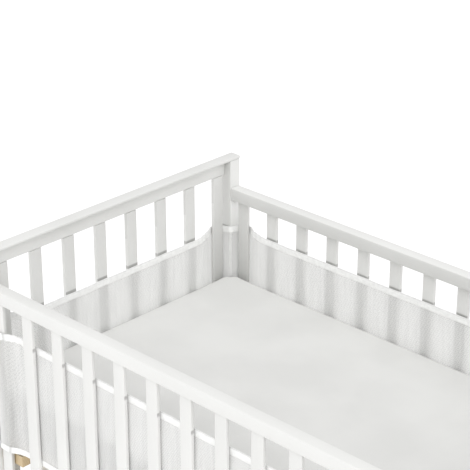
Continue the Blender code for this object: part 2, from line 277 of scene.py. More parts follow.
def beside_slats(along, off):
    """A point of the route on the straight, its top edge leaning in to one line."""
    return along, off, TOP_SETTLE, TOP_EDGE_OFF - off


def side_route(half_length, slats, sag=0.0):
    """One side of the route. Its top edge sags that much more, away from the corners."""
    way = list(CORNER_ROUTE)
    for k in range(1, slats - 1):
        start = FIRST_SLAT + k * PITCH
        way.append(beside_slats(start, SLAT_EDGE_OFF))
        way.append(beside_slats(start + SLAT_WIDE / 2, SLAT_FACE_OFF))
        way.append(beside_slats(start + SLAT_WIDE, SLAT_EDGE_OFF))
    way += [(2 * half_length - a, *rest) for a, *rest in reversed(CORNER_ROUTE)]
    sagging = []
    for along, off, rise, lean in way:
        free = min(along, 2 * half_length - along) - SAG_FROM
        rise -= sag * min(1.0, max(0.0, free / (SAG_FULL - SAG_FROM)))
        sagging.append((along, off, rise, lean))
    return sagging


side_way, end_way = side_route(HALF_X, SIDE_SLATS), side_route(HALF_Y, END_SLATS, END_SAG)
meet = MEET_X + HALF_X
front_after = [beside_slats(meet + ENDS_APART / 2, SLAT_EDGE_OFF)]
front_after += [p for p in side_way if p[0] > meet]
front_before = [p for p in side_way if p[0] < meet]
front_before += [beside_slats(meet - ENDS_APART / 2, SLAT_EDGE_OFF)]
control = []
for sx, sy, ax, ay, way in (  # the corner that a side starts from, and its direction
        (-1, -1, 1, 0, front_after), (1, -1, 0, 1, end_way), (1, 1, -1, 0, side_way),
        (-1, 1, 0, -1, end_way), (-1, -1, 1, 0, front_before)):
    turned = [(sx * HALF_X + ax * a - ay * b, sy * HALF_Y + ay * a + ax * b, *rest)
              for a, b, *rest in way]
    control += turned[1:] if control else turned
print(len(control), "route points")

# %% Smooth the route
ROUTE_STEP = 0.0015


def rounded(points):
    """A quadratic B-spline through the middles of a polyline's pieces."""
    line = [tuple(points[0])]
    for k in range(1, len(points) - 1):
        a = [(u + v) / 2 for u, v in zip(points[k - 1], points[k])]
        c = [(u + v) / 2 for u, v in zip(points[k], points[k + 1])]
        steps = max(2, math.ceil(math.dist(a[:2], c[:2]) / ROUTE_STEP))
        for j in range(steps + 1):
            t = j / steps
            line.append(tuple((1 - t) ** 2 * u + 2 * t * (1 - t) * v + t * t * w
                              for u, v, w in zip(a, points[k], c)))
    line.append(tuple(points[-1]))
    return [p for k, p in enumerate(line) if k == 0 or math.dist(p[:2], line[k - 1][:2]) > 1e-6]


route = rounded(control)
run = [0.0]
for a, b in zip(route, route[1:]):
    run.append(run[-1] + math.dist(a[:2], b[:2]))
STRIP_LONG = run[-1]
corner_runs = []
for sx, sy in ((1, -1), (1, 1), (-1, 1), (-1, -1)):
    spot = (sx * (HALF_X - CORNER_ROUTE[0][1]), sy * (HALF_Y - CORNER_ROUTE[0][0]))
    nearest = min(range(len(route)), key=lambda k: math.dist(route[k][:2], spot))
    corner_runs.append(run[nearest])
print("the strip is", round(STRIP_LONG, 4), "m long; corners at",
      [round(r, 3) for r in corner_runs])

# %% [markdown]
# Everything sewn to the strip is placed by three numbers: how far along it, how high up,
# and how far off its middle. One function turns these into a point in space, so mesh,
# bindings, hems and stitches share every fold. The folds are soft and uneven. They are
# strongest just after a corner, where the cloth is drawn in from behind the first slat,
# and they die out where the mattress holds the cloth.

# %% Place on the strip
FOLD_ZONE, FOLD_ZONE_WIDE = 0.098, 0.030  # run from the corner to the folds, and their reach
FOLD_LONG, FOLD_DEEP = 0.0135, 0.0009
RIPPLE_DEEP = 0.0007
HELD_SHARE, HELD_REACH = 0.22, 0.030  # folds left at the mattress, and free this far above
SWAY_SHARE, SWAY_TURN = 0.7, 2.2  # how much the folds wander to either side
# rises and hollows in a metre along and up the strip, and the layer of the noise
SWAY, SOFT, BROAD = (9.0, 11.0, 3.1), (42.0, 5.0, 1.7), (15.0, 9.0, 8.4)


def ripple(s, z, waves):
    along, upward, layer = waves
    return noise.noise(Vector((s * along, z * upward, layer)))


def wrinkle(s, z):
    """How far the cloth stands off its route there, inwards."""
    d = min(abs(s - c) for c in corner_runs)
    held = min(1.0, max(HELD_SHARE, (z - BED_TOP) / HELD_REACH))
    near = math.exp(-((d - FOLD_ZONE) / FOLD_ZONE_WIDE) ** 2)
    sway = SWAY_SHARE * ripple(s, z, SWAY)
    folds = FOLD_DEEP * near * math.sin(2 * math.pi * (d / FOLD_LONG) + SWAY_TURN * sway)
    soft = RIPPLE_DEEP * ripple(s, z, SOFT)
    broad = RIPPLE_DEEP * ripple(s, z, BROAD)
    return held * (folds + soft + broad)


def on_strip(s, up, off):
    """The point at running length s, height up on the flat strip, and off its middle."""
    s = min(max(s, 0.0), STRIP_LONG)
    low = min(bisect_right(run, s) - 1, len(run) - 2)
    share = (s - run[low]) / (run[low + 1] - run[low])
    x, y, rise, lean = (a + (b - a) * share for a, b in zip(route[low], route[low + 1]))
    before, after = route[max(0, low - 2)], route[min(len(route) - 1, low + 3)]
    first, second = Vector(before[:2]), Vector(after[:2])
    along = (second - first).normalized()
    inward = Vector((-along.y, along.x))
    z = LINER_LOW + up * (1 + rise / LINER_TALL)
    tip = lean * max(0.0, z - BED_TOP) / (LINER_TOP - BED_TOP)
    across = off + tip + wrinkle(s, z)
    return x + inward.x * across, y + inward.y * across, z


print("strip starts at", [round(v, 4) for v in on_strip(0.0, LINER_TALL, 0.0)])

# %% [markdown]
# A sweep is the common way to make any long thin piece: a section is placed at each step
# of the way, and the steps are joined with quads. The corners of each quad also get their
# place on the flat cloth as a UV map in metres, so that a knitted pattern follows every
# fold at its true scale.


# %% Sweep along the strip
def ring_faces(rings, size):
    """Quads that join each ring of a stack to the next."""
    return [(k * size + j, k * size + (j + 1) % size, (k + 1) * size + (j + 1) % size,
             (k + 1) * size + j) for k in range(rings - 1) for j in range(size)]


def face_outwards(mesh, merge=0.0):
    """Merges the doubles of a closed mesh where asked, and turns all its faces outwards."""
    shape = bmesh.new()
    shape.from_mesh(mesh)
    if merge:
        bmesh.ops.remove_doubles(shape, verts=shape.verts, dist=merge)
    bmesh.ops.recalc_face_normals(shape, faces=shape.faces)
    shape.to_mesh(mesh)
    shape.free()


def sweep(name, stations, section):
    """A closed solid; section(s) gives its (up, off) points at each running length."""
    verts, flat = [], []
    for s in stations:
        ring = section(s)
        for up, off in ring:
            verts.append(on_strip(s, up, off))
            flat.append((s, up))
    size = len(ring)
    caps = [tuple(range(size))[::-1], tuple(range(len(verts) - size, len(verts)))]
    mesh = bpy.data.meshes.new(name)
    mesh.from_pydata(verts, [], ring_faces(len(stations), size) + caps)
    uv = mesh.uv_layers.new(name="cloth")
    for loop in mesh.loops:
        uv.data[loop.index].uv = flat[loop.vertex_index]
    reach = mesh.attributes.new("from_corner", "FLOAT", "POINT")
    reach.data.foreach_set("value", [min(abs(s - c) for c in corner_runs) for s, _ in flat])
    face_outwards(mesh)
    return mesh


def evenly(start, end, step):
    count = max(1, round((end - start) / step))
    return [start + (end - start) * k / count for k in range(count + 1)]


# %% [markdown]
# ## The knitted mesh
# The panel is warp-knitted polyester mesh: fine white yarn looped round small holes, so
# air and some light go through. From across a room it reads as a pale veil. The slats
# behind it show as soft darker bands. Modelling each hole would take millions of faces.
# Instead the sheet is one thin closed surface, and its material is clear in the holes.

# %% Mesh material: warp-knitted polyester
# Real holes stand about 1.5 mm apart. They are drawn at 2.6 mm, because the photograph
# shows about 2 mm to a pixel. Yarn lets light through it, so part of it is translucent.
HOLE_APART = 0.0026
ROW_CLOSE = 0.866  # rows of holes lie closer, as in a honeycomb
HOLE_ROUND = 0.28  # radius of a hole, as a share of the spacing
HOLE_SOFT = 0.10
HOLE_FUZZ = 0.37  # how much of a hole the yarn's loose fibres cover
WALE_WIDE, WALE_LONG = 0.0075, 0.120  # knitted columns that read as faint upright streaks
POST_EDGE_SHADE = 0.965  # how much of the yarn's white a painted shade leaves on the post's edge
knit_material, tree = new_material("warp_knitted_polyester_mesh")
cloth = add_node(tree, "UVMap", uv_map="cloth")
across = add_node(tree, "VectorMath", (
    cloth, (1 / HOLE_APART, 0.5 / HOLE_APART, 0.0)), operation="DOT_PRODUCT").outputs["Value"]
upward = add_node(tree, "VectorMath", (
    cloth, (0.0, ROW_CLOSE / HOLE_APART, 0.0)), operation="DOT_PRODUCT").outputs["Value"]
lattice = add_node(tree, "CombineXYZ", (across, upward))
holes = add_node(tree, "TexVoronoi", {
    "Vector": lattice, "Scale": 1.0, "Randomness": 0.12}, voronoi_dimensions="2D")
yarn = add_node(tree, "MapRange", (
    holes, HOLE_ROUND - HOLE_SOFT, HOLE_ROUND + HOLE_SOFT, HOLE_FUZZ, 1.0),
    interpolation_type="SMOOTHSTEP")
# By distance from the corner, the cloth opens where it is stretched over the post's edge and
# closes up beside it, and it lets most light through behind the slat.
from_corner = add_node(tree, "Attribute", attribute_name="from_corner").outputs["Fac"]
closed_up = add_node(tree, "ValToRGB", {"Fac": from_corner}, stops=(
    (0.003, 0.0), (0.010, 0.75), (0.028, 0.75), (0.060, 0.0)))
let_through = add_node(tree, "ValToRGB", {"Fac": from_corner}, stops=(
    (0.030, 0.15), (0.052, 0.60), (0.068, 0.60), (0.088, 0.33)))
opaque = add_node(tree, "Math", (yarn, closed_up), operation="ADD", use_clamp=True)
wales = add_node(tree, "Mapping", {"Vector": cloth, "Scale": (1 / WALE_WIDE, 1 / WALE_LONG, 1.0)})
streaks = add_node(tree, "TexNoise", {
    "Vector": wales, "Scale": 1.0, "Detail": 2.0, "Roughness": 0.6}, noise_dimensions="2D")
tone = add_node(tree, "ValToRGB", {"Fac": streaks}, stops=((0.3, "#F0F0EF"), (0.7, "#F7F7F6")))
# Where it is drawn over the post's edge, the yarn gets a little painted shade.
post_edge_shade = add_node(tree, "MapRange", (from_corner, 0.001, 0.006, POST_EDGE_SHADE, 1.0),
                  interpolation_type="SMOOTHSTEP")
yarn_colour = add_node(tree, "VectorMath", {0: tone, "Scale": post_edge_shade}, operation="SCALE")
yarn_bump = add_node(tree, "Bump", {"Height": holes, "Strength": 0.5, "Distance": 0.0005})
front_light = add_node(tree, "BsdfPrincipled", {
    "Base Color": yarn_colour, "Roughness": 0.85, "Sheen Weight": 0.15, "Normal": yarn_bump})
through_light = add_node(tree, "BsdfTranslucent", {"Color": yarn_colour})
fibre = add_node(tree, "MixShader", (let_through, front_light, through_light))
clear = add_node(tree, "BsdfTransparent")
veil = add_node(tree, "MixShader", (opaque, clear, fibre))
add_node(tree, "OutputMaterial", {"Surface": veil})
print("mesh material has", len(tree.nodes), "nodes")

# %% Panel
PANEL_HALF = 0.00025  # half the thickness of the mesh
PANEL_ROWS = 18
PANEL_STEP, HEM_STEP, END_STEP = 0.006, 0.003, 0.0006
HEM_EASE = 0.0015  # the hem thins out over this length


def panel_half(s):
    """Half the cloth's thickness: doubled over in the hems at its two ends."""
    inside = min(s, STRIP_LONG - s) - HEM_WIDE
    if inside >= HEM_EASE:
        return PANEL_HALF
    share = min(1.0, max(0.0, 1 - inside / HEM_EASE))
    return PANEL_HALF + (HEM_HALF - PANEL_HALF) * share


def panel_section(s):
    """Up the inner side and down the outer one, stopping inside the bindings."""
    inside = min(s, STRIP_LONG - s) - HEM_WIDE
    stop = BINDING_TURN if inside > HEM_EASE / 2 else 0.0
    half = panel_half(s)
    ups = [stop + (LINER_TALL - 2 * stop) * k / PANEL_ROWS for k in range(PANEL_ROWS + 1)]
    return [(up, half) for up in ups] + [(up, -half) for up in reversed(ups)]


stations = [0.0, END_STEP] + evenly(HEM_STEP, HEM_WIDE, HEM_STEP)
stations += evenly(HEM_WIDE + HEM_EASE, STRIP_LONG - HEM_WIDE - HEM_EASE, PANEL_STEP)
stations += evenly(STRIP_LONG - HEM_WIDE, STRIP_LONG - HEM_STEP, HEM_STEP)
stations += [STRIP_LONG - END_STEP, STRIP_LONG]
liner = add_piece("liner_panel", sweep("liner_panel", stations, panel_section), knit_material)
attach(liner, "root")
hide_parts("liner_mesh")
print("panel has", len(liner.data.polygons), "faces")

# %% [markdown]
# ## The bindings
# A binding is a strip of knitted tape folded in half over the raw edge and sewn through
# with a lockstitch. The thread pulls the tape down a little at each stitch, so its open
# edge is gently puckered and the fold stays plump. Its section is a narrow U, and the
# sweep gives the puckers by moving the section's points in and out along the way.

# %% Binding material: knitted tape
# Two layers of tape hide what is behind, so the binding is the whitest part. Its ribs are
# about 1 mm wide and drawn at 2.2 mm to show at all. It carries a painted shade where it
# passes behind the first slat's edge, and just below its fold.
RIB_WIDE = 0.0022
# painted shadow: a dark slit on the tape where it passes behind the first slat's edge
SLIT_AT, SLIT_WIDE, SLIT_SHADE = 0.0603, 0.0014, 0.60
# painted shade on the top tape just below its fold
FOLD_SHADE = 0.86
FOLD_DARKEST, FOLD_UNSHADED = 0.001, 0.004  # how far below the fold the painted shade is full, and gone
tape_material, tree = new_material("knitted_polyester_tape")
cloth = add_node(tree, "UVMap", uv_map="cloth")
ribs = add_node(tree, "TexWave", {
    "Vector": cloth, "Scale": WAVE / RIB_WIDE, "Distortion": 0.6, "Detail": 1.0},
    wave_type="BANDS", bands_direction="X").outputs["Fac"]
worn = add_node(tree, "TexNoise", {
    "Vector": cloth, "Scale": 110.0, "Detail": 3.0}, noise_dimensions="2D")
tone = add_node(tree, "ValToRGB", {"Fac": worn}, stops=((0.35, "#F3F3F2"), (0.65, "#FBFBFA")))
from_corner = add_node(tree, "Attribute", attribute_name="from_corner").outputs["Fac"]
painted_slit_shade = add_node(tree, "ValToRGB", {"Fac": from_corner}, stops=(
    (SLIT_AT - 2 * SLIT_WIDE, 1.0), (SLIT_AT - SLIT_WIDE, SLIT_SHADE),
    (SLIT_AT + SLIT_WIDE, SLIT_SHADE), (SLIT_AT + 2 * SLIT_WIDE, 1.0)))
up_strip = add_node(tree, "SeparateXYZ", (cloth,)).outputs["Y"]
fold_painted_shade = add_node(tree, "MapRange", (
    up_strip, LINER_TALL - FOLD_UNSHADED, LINER_TALL - FOLD_DARKEST, 1.0, FOLD_SHADE),
    interpolation_type="SMOOTHSTEP")
shaded_tone = add_node(tree, "Mix", {"Factor": 1.0, 6: tone, 7: painted_slit_shade}, data_type="RGBA",
                      blend_type="MULTIPLY").outputs[2]
colour = add_node(tree, "VectorMath", {0: shaded_tone, "Scale": fold_painted_shade}, operation="SCALE")
relief = add_node(tree, "Math", (ribs, worn), operation="ADD")
bump = add_node(tree, "Bump", {"Height": relief, "Strength": 0.35, "Distance": 0.0004})
surface = add_node(tree, "BsdfPrincipled", {
    "Base Color": colour, "Roughness": 0.8, "Sheen Weight": 0.2, "IOR": 1.55, "Normal": bump})
add_node(tree, "OutputMaterial", {"Surface": surface})
print("tape material has", len(tree.nodes), "nodes")

# %% Bindings
STITCH_IN = 0.0030  # stitch line from the tape's open edge
STITCH_DENT = 0.0004  # the thread pulls the tape in this far
PUCKER_LONG, PUCKER_DEEP = 0.0085, 0.00035
PUCKER_PULL = 0.6  # how far a pucker draws the open edge up, as a share of its depth
OPEN_THIN = 0.0001  # the open edge is pressed this much thinner
PLUMP_IN, PLUMP_SHARE = 0.006, 0.6  # where the fold is plumpest, and its share of a pucker
ROUND_IN, TIP_IN, TIP_SHARE = 0.0015, 0.0003, 0.62  # how the fold rounds off at its edge
PUCKER_DRIFT, DRIFT_WAVES = 3, 20  # the puckers' uneven spacing
TAPE_STEP = 0.0028
EDGES = (("top", LINER_TALL, 1), ("bottom", 0.0, -1))


def binding_section(edge, turn):
    """The tape's U at each running length; turn is 1 at the top edge and -1 at the bottom."""
    def section(s):
        drift = PUCKER_DRIFT * noise.noise(Vector((s * DRIFT_WAVES, 0, 0)))
        wave = math.sin(2 * math.pi * s / PUCKER_LONG + drift)
        puff = PUCKER_DEEP * (0.5 + 0.5 * wave)
        slot = BINDING_HALF - BINDING_WALL
        open_end = edge - turn * (BINDING_TALL - PUCKER_PULL * puff)
        side = [(open_end, BINDING_HALF - OPEN_THIN + puff),
                (open_end + turn * STITCH_IN, BINDING_HALF - STITCH_DENT),
                (edge - turn * PLUMP_IN, BINDING_HALF + puff * PLUMP_SHARE),
                (edge - turn * ROUND_IN, BINDING_HALF),
                (edge - turn * TIP_IN, BINDING_HALF * TIP_SHARE)]
        outer = side + [(up, -off) for up, off in reversed(side)]
        fold = edge - turn * BINDING_TURN
        inner = [(open_end, -slot), (fold, -slot), (fold, slot), (open_end, slot)]
        return outer + inner
    return section


def sewn_line(edge, turn):
    return edge - turn * (BINDING_TALL - STITCH_IN)


way = evenly(HEM_WIDE + 2 * FIT, STRIP_LONG - HEM_WIDE - 2 * FIT, TAPE_STEP)
for label, edge, turn in EDGES:
    name = f"binding_{label}"
    mesh = sweep(f"{name}_tape", way, binding_section(edge, turn))
    tape = add_piece(f"{name}_tape", mesh, tape_material, sharp_angle=50.0)
    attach(tape, "root")
    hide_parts(name)
    print(name, "has", len(mesh.polygons), "faces")

# %% [markdown]
# ## The stitches
# A seam is thousands of equal stitches that follow a path, which is what Geometry Nodes
# are for. The tree takes a curve, puts a point on it every few millimetres, and sets one
# small plump stitch on each point, turned to the curve's direction. The instances are
# made real at the end, and the result becomes a plain mesh.

# %% Thread material: spun polyester
# Sewing thread has a soft gloss along the fibre. Its twist is far finer than the render
# shows, so a coarse diagonal stripe stands for it.
thread_material, tree = new_material("spun_polyester_thread")
coords = add_node(tree, "TexCoord").outputs["Object"]
twist = add_node(tree, "TexWave", {"Vector": coords, "Scale": 300.0},
                 bands_direction="DIAGONAL").outputs["Fac"]
tone = add_node(tree, "ValToRGB", {"Fac": twist}, stops=((0.0, "#E8E8E6"), (1.0, "#FBFBFA")))
surface = add_node(tree, "BsdfPrincipled", {
    "Base Color": tone, "Roughness": 0.45, "Sheen Weight": 0.1, "IOR": 1.55})
add_node(tree, "OutputMaterial", {"Surface": surface})


# %% Helpers for Geometry Nodes trees
def new_tree(name, wanted):
    """A tree with named inputs, and the outputs that bring them in."""
    tree = bpy.data.node_groups.new(name, "GeometryNodeTree")
    for label, kind in (("Geometry", "Geometry"), *wanted, ("Material", "Material")):
        tree.interface.new_socket(label, in_out="INPUT", socket_type=f"NodeSocket{kind}")
    tree.interface.new_socket("Geometry", in_out="OUTPUT", socket_type="NodeSocketGeometry")
    return tree, add_node(tree, "NodeGroupInput").outputs


def end_tree(tree, instances, material):
    """The end of a tree: its instances are made real and get their material."""
    real = add_node(tree, "GeometryNodeRealizeInstances", {"Geometry": instances})
    finished = add_node(tree, "GeometryNodeSetMaterial", {"Geometry": real, "Material": material})
    add_node(tree, "NodeGroupOutput", {"Geometry": finished})


def run_tree(name, source, tree, material, **settings):
    """The result of a tree on an object's data, as a plain piece."""
    carrier = add_object(f"{name}_source", source)
    modifier = carrier.modifiers.new("tree", "NODES")
    modifier.node_group = tree
    sockets = {socket.name: socket.identifier for socket in tree.interface.items_tree
               if socket.in_out == "INPUT"}
    for label, value in {**settings, "Material": material}.items():
        modifier[sockets[label]] = value
    graph = bpy.context.evaluated_depsgraph_get()
    mesh = bpy.data.meshes.new_from_object(carrier.evaluated_get(graph))
    mesh.name = name
    carrier.modifiers.clear()
    bpy.data.objects.remove(carrier, do_unlink=True)
    return add_piece(name, mesh, material)


# %% Stitch tree
STITCH_PITCH, STITCH_LONG, STITCH_THICK = 0.0032, 0.0026, 0.0007
stitch_tree, given = new_tree(
    "lockstitch", (("Pitch", "Float"), ("Length", "Float"), ("Thickness", "Float")))
spots = add_node(stitch_tree, "GeometryNodeCurveToPoints",
                 {"Curve": given["Geometry"], "Length": given["Pitch"]}, mode="LENGTH")
half_long = add_node(stitch_tree, "Math", (given["Length"], 0.5), operation="MULTIPLY")
half_thick = add_node(stitch_tree, "Math", (given["Thickness"], 0.5), operation="MULTIPLY")
stitch_size = add_node(stitch_tree, "CombineXYZ", (half_long, half_thick, half_thick))
bead = add_node(stitch_tree, "GeometryNodeMeshIcoSphere", {"Radius": 1.0, "Subdivisions": 1})
stitch = add_node(stitch_tree, "GeometryNodeTransform", {"Geometry": bead, "Scale": stitch_size})
turned = add_node(stitch_tree, "FunctionNodeAlignRotationToVector",
                  {"Vector": spots.outputs["Tangent"]}, axis="X")
row = add_node(stitch_tree, "GeometryNodeInstanceOnPoints",
               {"Points": spots, "Instance": stitch, "Rotation": turned})
end_tree(stitch_tree, row, given["Material"])
print("stitch tree has", len(stitch_tree.nodes), "nodes")

# %% Stitching
SINK = 0.0001  # a stitch lies a little into the cloth
SEAM_STEP, HEM_SEAM_STEP = 0.004, 0.010
SEAM_INSET = 0.002  # the bindings' seams start this far past the hems
seam_off = BINDING_HALF - STITCH_DENT + STITCH_THICK / 2 - SINK
hem_off = HEM_HALF + STITCH_THICK / 2 - SINK
hem_seam = HEM_WIDE - STITCH_IN
seam_way = evenly(HEM_WIDE + SEAM_INSET, STRIP_LONG - HEM_WIDE - SEAM_INSET, SEAM_STEP)
hem_way = evenly(SEAM_STEP, LINER_TALL - SEAM_STEP, HEM_SEAM_STEP)
seam_lines = {
    f"stitches_{label}": [[on_strip(s, sewn_line(edge, turn), side * seam_off)
                           for s in seam_way] for side in (1, -1)]
    for label, edge, turn in EDGES}
seam_lines["stitches_hems"] = [[on_strip(s, up, side * hem_off) for up in hem_way]
                               for s in (hem_seam, STRIP_LONG - hem_seam) for side in (1, -1)]
for name, lines in seam_lines.items():
    seam = run_tree(name, poly_curve(name, lines), stitch_tree, thread_material,
                    Pitch=STITCH_PITCH, Length=STITCH_LONG, Thickness=STITCH_THICK)
    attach(seam, "root")
    print(name, "has", len(seam.data.polygons), "faces")

# %% [markdown]
# ## The mattress
# The mattress is firm foam in a tight fitted sheet of cotton percale. Firm foam keeps a
# flat top and soft edges. Each post dents its corner through the liner. It is built as
# rings: the outline is stacked up the side and then drawn in to the middle line, and each
# point falls with its distance from the outline, which rounds the edge. The last ring
# closes on itself when its doubles are merged.

# %% Sheet material: cotton percale
# Percale is a plain weave with a dry, matt face. Threads are 0.25 mm apart, so the weave
# is drawn at 2 mm, just enough to break up the light.
WEAVE = 0.002
percale_material, tree = new_material("woven_cotton_percale")
coords = add_node(tree, "TexCoord").outputs["Object"]
warp, weft = [add_node(tree, "TexWave", {
    "Vector": coords, "Scale": WAVE / WEAVE, "Distortion": 0.8, "Detail": 2.0},
    bands_direction=axis).outputs["Fac"] for axis in "XY"]
weave = add_node(tree, "Math", (warp, weft), operation="MULTIPLY")
creased = add_node(tree, "TexNoise", {
    "Vector": coords, "Scale": 7.0, "Detail": 4.0, "Roughness": 0.45})
tone = add_node(tree, "ValToRGB", {"Fac": creased}, stops=((0.35, "#D6D6D4"), (0.65, "#DCDCDA")))
crease_bump = add_node(tree, "Bump", {"Height": creased, "Strength": 0.3, "Distance": 0.004})
weave_bump = add_node(tree, "Bump", {
    "Height": weave, "Strength": 0.25, "Distance": 0.0003, "Normal": crease_bump})
surface = add_node(tree, "BsdfPrincipled", {
    "Base Color": tone, "Roughness": 0.9, "Sheen Weight": 0.15, "Normal": weave_bump})
add_node(tree, "OutputMaterial", {"Surface": surface})
print("sheet material has", len(tree.nodes), "nodes")

# %% Mattress outline
BED_CORNER = [
    # along,  inward
    (0.0300, 0.0050),
    (0.0252, 0.0056),
    (0.0236, 0.0080),
    (0.0231, 0.0120),
    (0.0222, 0.0175),
    (0.0208, 0.0208),
]
OUTLINE_STEP = 0.010


def bed_outline():
    """The mattress from above, anticlockwise, with points every few millimetres."""
    half = BED_CORNER + [(v, u) for u, v in reversed(BED_CORNER[:-1])]
    ring = []
    for sx, sy in ((1, 1), (-1, 1), (-1, -1), (1, -1)):
        turned = [(sx * (HALF_X - b), sy * (HALF_Y - a)) for a, b in half]
        ring += turned if sx * sy > 0 else turned[::-1]
    fine = []
    for a, b in zip(ring, ring[1:] + ring[:1]):
        for t in evenly(0.0, 1.0, OUTLINE_STEP / math.dist(a, b))[:-1]:
            fine.append((a[0] + (b[0] - a[0]) * t, a[1] + (b[1] - a[1]) * t))
    for _ in range(3):
        fine = [(p[0] / 2 + (q[0] + r[0]) / 4, p[1] / 2 + (q[1] + r[1]) / 4)
                for q, p, r in zip(fine[-1:] + fine[:-1], fine, fine[1:] + fine[:1])]
    return fine


outline = bed_outline()
print("mattress outline has", len(outline), "points")

# %% Mattress
BED_EDGE = 0.013  # soft radius of the edge
BED_RAISE = 0.0015  # the sheet's fullness over the CAD's flat top
BED_GAP = BED_CORNER[0][1]  # the mattress's long sides lie this far inside the slats
RINGS_IN = [0.0, 0.0004, 0.0013, 0.0028, 0.0050, 0.0078, 0.0110, 0.0150, 0.0200, 0.0270,
            0.036, 0.048, 0.063, 0.081, 0.102, 0.126, 0.152, 0.180, 0.208, 0.236, 0.264,
            0.292, 0.320, HALF_Y - BED_GAP]
RIDGE = HALF_X - HALF_Y  # half the middle line that the top closes on
SQUEEZE_HIGH, SQUEEZE_WIDE, SQUEEZE_IN = 0.0035, 0.035, 0.020  # the swell beside a post
SLACK_DEEP, PULL_DEEP = 0.0009, 0.0005
LIFT_REACH = 0.012  # the sheet rises to its fullness over this width
EDGE_NEAR = 0.04  # only the outline's pieces this close are measured
FLAT_FROM = 0.03  # rings this far in lie clear of the rounded edge
SIDE_STEP = 0.02


def bed_wave(x, y):
    """Small rises and hollows of the stretched sheet, and the swell where a post dents it."""
    slack = noise.noise(Vector((x * 4.0, y * 4.0, 2.0)))
    pull = noise.noise(Vector((x * 11.0 + y * 6.0, y * 17.0 - x * 4.0, 5.0)))
    corner = math.hypot(HALF_X - SQUEEZE_IN - abs(x), HALF_Y - SQUEEZE_IN - abs(y))
    return (SLACK_DEEP * slack + PULL_DEEP * pull
            + SQUEEZE_HIGH * math.exp(-(corner / SQUEEZE_WIDE) ** 2))


def edge_distance(x, y):
    """How far a point lies inside the outline."""
    best = 1.0
    for a, b in zip(outline, outline[1:] + outline[:1]):
        if abs(a[0] - x) > EDGE_NEAR or abs(a[1] - y) > EDGE_NEAR:
            continue
        ex, ey = b[0] - a[0], b[1] - a[1]
        t = ((x - a[0]) * ex + (y - a[1]) * ey) / (ex * ex + ey * ey)
        t = max(0.0, min(1.0, t))
        best = min(best, math.hypot(x - a[0] - ex * t, y - a[1] - ey * t))
    return best


def drop(distance):
    """How far a quarter-round edge falls below the flat at that distance in."""
    if distance >= BED_EDGE:
        return 0.0
    return BED_EDGE - math.sqrt(BED_EDGE ** 2 - (BED_EDGE - distance) ** 2)


bottom = BED_TOP - BED_THICK
cap_rings, floor_rings = [], []
for depth in RINGS_IN:
    share = depth / RINGS_IN[-1]
    high, low = [], []
    for x, y in outline:
        px = x + (max(-RIDGE, min(RIDGE, x)) - x) * share
        py = y * (1 - share)
        inside = 0.0 if depth == 0.0 else edge_distance(px, py) if depth < FLAT_FROM else 1.0
        fall = drop(inside)
        lift = (BED_RAISE + bed_wave(px, py)) * min(1.0, inside / LIFT_REACH)
        high.append((px, py, BED_TOP - fall + lift))
        low.append((px, py, bottom + fall))
    cap_rings.append(high)
    floor_rings.append(low)
side_rings = [[(x, y, z) for x, y in outline]
              for z in evenly(bottom + BED_EDGE, BED_TOP - BED_EDGE, SIDE_STEP)[1:-1]]
rings = floor_rings[::-1] + side_rings + cap_rings
mesh = bpy.data.meshes.new("mattress_in_sheet")
mesh.from_pydata([p for ring in rings for p in ring], [], ring_faces(len(rings), len(outline)))
face_outwards(mesh, merge=0.00005)
mattress = add_piece("mattress_in_sheet", mesh, percale_material, sharp_angle=60.0)
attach(mattress, "root")
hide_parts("mattress")
print("mattress has", len(mesh.polygons), "faces")

# %% [markdown]
# ## The painted wood
# Posts, rails and slats are planed beech under two sprayed coats of white satin lacquer.
# Lacquer levels into a skin that is nearly even: a faint orange peel, a hint of the long
# grain below, and slightly thinner paint along the edges. The grain has to run along each
# piece, so one function makes the material for each direction.
#
# Where a crib's sides meet, little light gets in, and the paint carries a painted shade:
# in the corner, along the mattress and behind the liner's top edge. A painted light lifts
# the posts' end faces under the side rail. The places follow a rule, so nodes can work them
# out from the position on the crib. Each rule gives a share from 0 to 1, and a few sums then
# join the shares.

# %% Painted shade in the corners
SHADE_HIGH = 0.24  # the greyer corner ends this far above the mattress
CORNER_NEAR, CORNER_FAR = 0.060, 0.095  # and between these distances from the corner
SHADE_POWER = 1.35  # above 1, so the grey fades fastest near the mattress
POST_ENDS, SLAT_STARTS = 0.018, 0.022
LOOKS_IN, LOOKS_ASIDE = -0.8, -0.3  # how far a face's normal points out of the crib
# how dark the painted shade is on the first slats, behind the trim and on the long sides
AT_FIRST_SLATS, BEHIND_TRIM, ON_SIDES = 0.33, 0.46, 0.13
WHITE_LOW, WHITE_HIGH = 0.12, 0.95  # painted light on a post, from the liner up to the side rail
LIGHT_FULL_BELOW, RAIL_BLUR = 0.012, 0.002  # below the side rail
# the painted shade line behind the trim starts, is full, begins to fade and ends here, from the
# trim's top
LINE_PLACES = (-0.012, -0.005, -0.003, 0.0015)
rail_bottom = SIDE_TOP - RAIL_TALL


